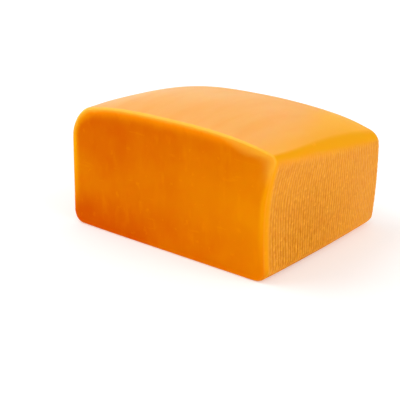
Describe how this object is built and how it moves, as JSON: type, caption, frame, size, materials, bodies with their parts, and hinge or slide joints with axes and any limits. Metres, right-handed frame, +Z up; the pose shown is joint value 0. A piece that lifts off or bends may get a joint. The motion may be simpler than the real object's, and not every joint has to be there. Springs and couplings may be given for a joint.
{
  "type": "cheese block",
  "caption": "Rectangular block of orange semi-hard cheese with one smooth cut face, a crowned top and finely ribbed moulded walls, resting on a flat base.",
  "frame": {"origin": "middle of the base, on the surface that the block stands on", "axes": "+Z up, the cut face looks along -Y, +X to the right of someone who looks at the cut face"},
  "size_m": [0.1034, 0.086, 0.058],
  "materials": {
    "cheese": "smooth moist orange cheese, deeper in colour on the cut face, with a soft satin sheen on the moulded skin and fine ribs on its walls"
  },
  "bodies": {
    "root": {"cheese_block": "cheese"}
  },
  "joints": []
}
